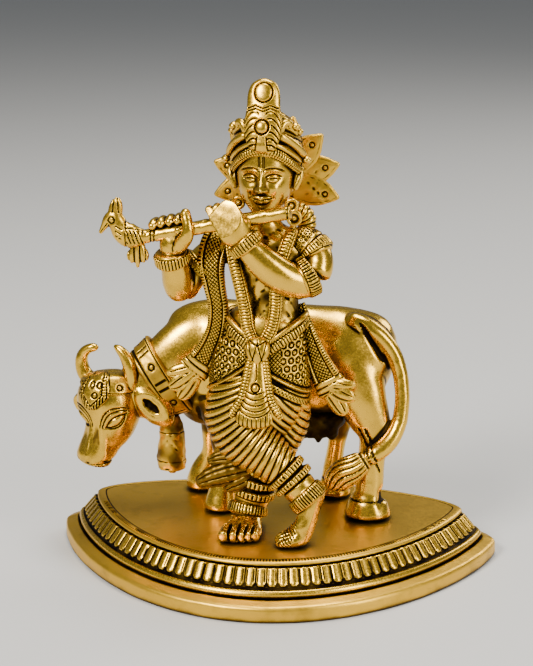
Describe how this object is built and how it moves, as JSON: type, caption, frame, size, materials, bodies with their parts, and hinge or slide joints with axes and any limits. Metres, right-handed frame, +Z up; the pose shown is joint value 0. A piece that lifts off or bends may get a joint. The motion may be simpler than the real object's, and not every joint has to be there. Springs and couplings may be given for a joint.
{
  "type": "hindu deity statue",
  "caption": "Cast brass flute player standing cross-legged before a cow, with a petal halo behind the head, on a stepped lotus-petal base.",
  "frame": {"origin": "centre of the base's underside, on the surface that the statue stands on", "axes": "+Z up, -Y towards the front of the statue, +X to the right of someone facing its front"},
  "size_m": [0.141, 0.0886, 0.1536],
  "materials": {
    "polished_brass": "cast brass, hand polished on the high places, thin brown patina kept in the hollows",
    "antique_brass": "cast brass with chased ornament, dark patina left in the grooves and rubbed back on the ridges",
    "steel_fixings": "plain machined steel screws, bright zinc"
  },
  "bodies": {
    "root": {"fixing_screw_standing_foot": "steel_fixings", "fixing_screw_near_front_hoof": "steel_fixings", "fixing_screw_near_rear_hoof": "steel_fixings", "fixing_screw_far_rear_hoof": "steel_fixings", "base_slab": "antique_brass", "lotus_tier": "antique_brass", "top_plate": "antique_brass", "cow_body": "polished_brass", "cow_neck": "polished_brass", "cow_head": "polished_brass", "cow_headband": "antique_brass", "cow_collar": "antique_brass", "cow_horn_left": "polished_brass", "cow_horn_right": "polished_brass", "cow_ear_left": "polished_brass", "cow_ear_right": "polished_brass", "cow_leg_front_near": "polished_brass", "cow_leg_front_far": "polished_brass", "cow_leg_rear_near": "polished_brass", "cow_leg_rear_far": "polished_brass", "cow_udder": "antique_brass", "cow_tail": "polished_brass", "cow_tail_tuft": "antique_brass", "cow_bell": "antique_brass", "standing_foot": "polished_brass", "crossing_foot": "polished_brass", "hips": "antique_brass", "crossing_leg": "antique_brass", "crossing_anklet": "antique_brass", "standing_leg": "antique_brass", "standing_anklet": "antique_brass", "cloth_tassel": "antique_brass", "torso": "polished_brass", "head": "polished_brass", "crown": "antique_brass", "crown_plume": "antique_brass", "hair_bundle": "antique_brass", "ear_ring": "antique_brass", "halo": "antique_brass", "flute": "polished_brass", "flute_bird": "antique_brass", "flute_leaf_drop": "antique_brass", "right_hand": "polished_brass", "left_hand": "polished_brass", "right_forearm": "polished_brass", "right_bangle": "antique_brass", "right_upper_arm": "polished_brass", "right_armlet": "antique_brass", "left_forearm": "polished_brass", "left_bangle": "antique_brass", "left_upper_arm": "polished_brass", "left_armlet": "antique_brass", "left_sleeve": "antique_brass", "garland": "antique_brass", "belt": "antique_brass", "apron": "antique_brass", "shoulder_sash": "antique_brass", "hip_sash": "antique_brass"}
  },
  "joints": []
}
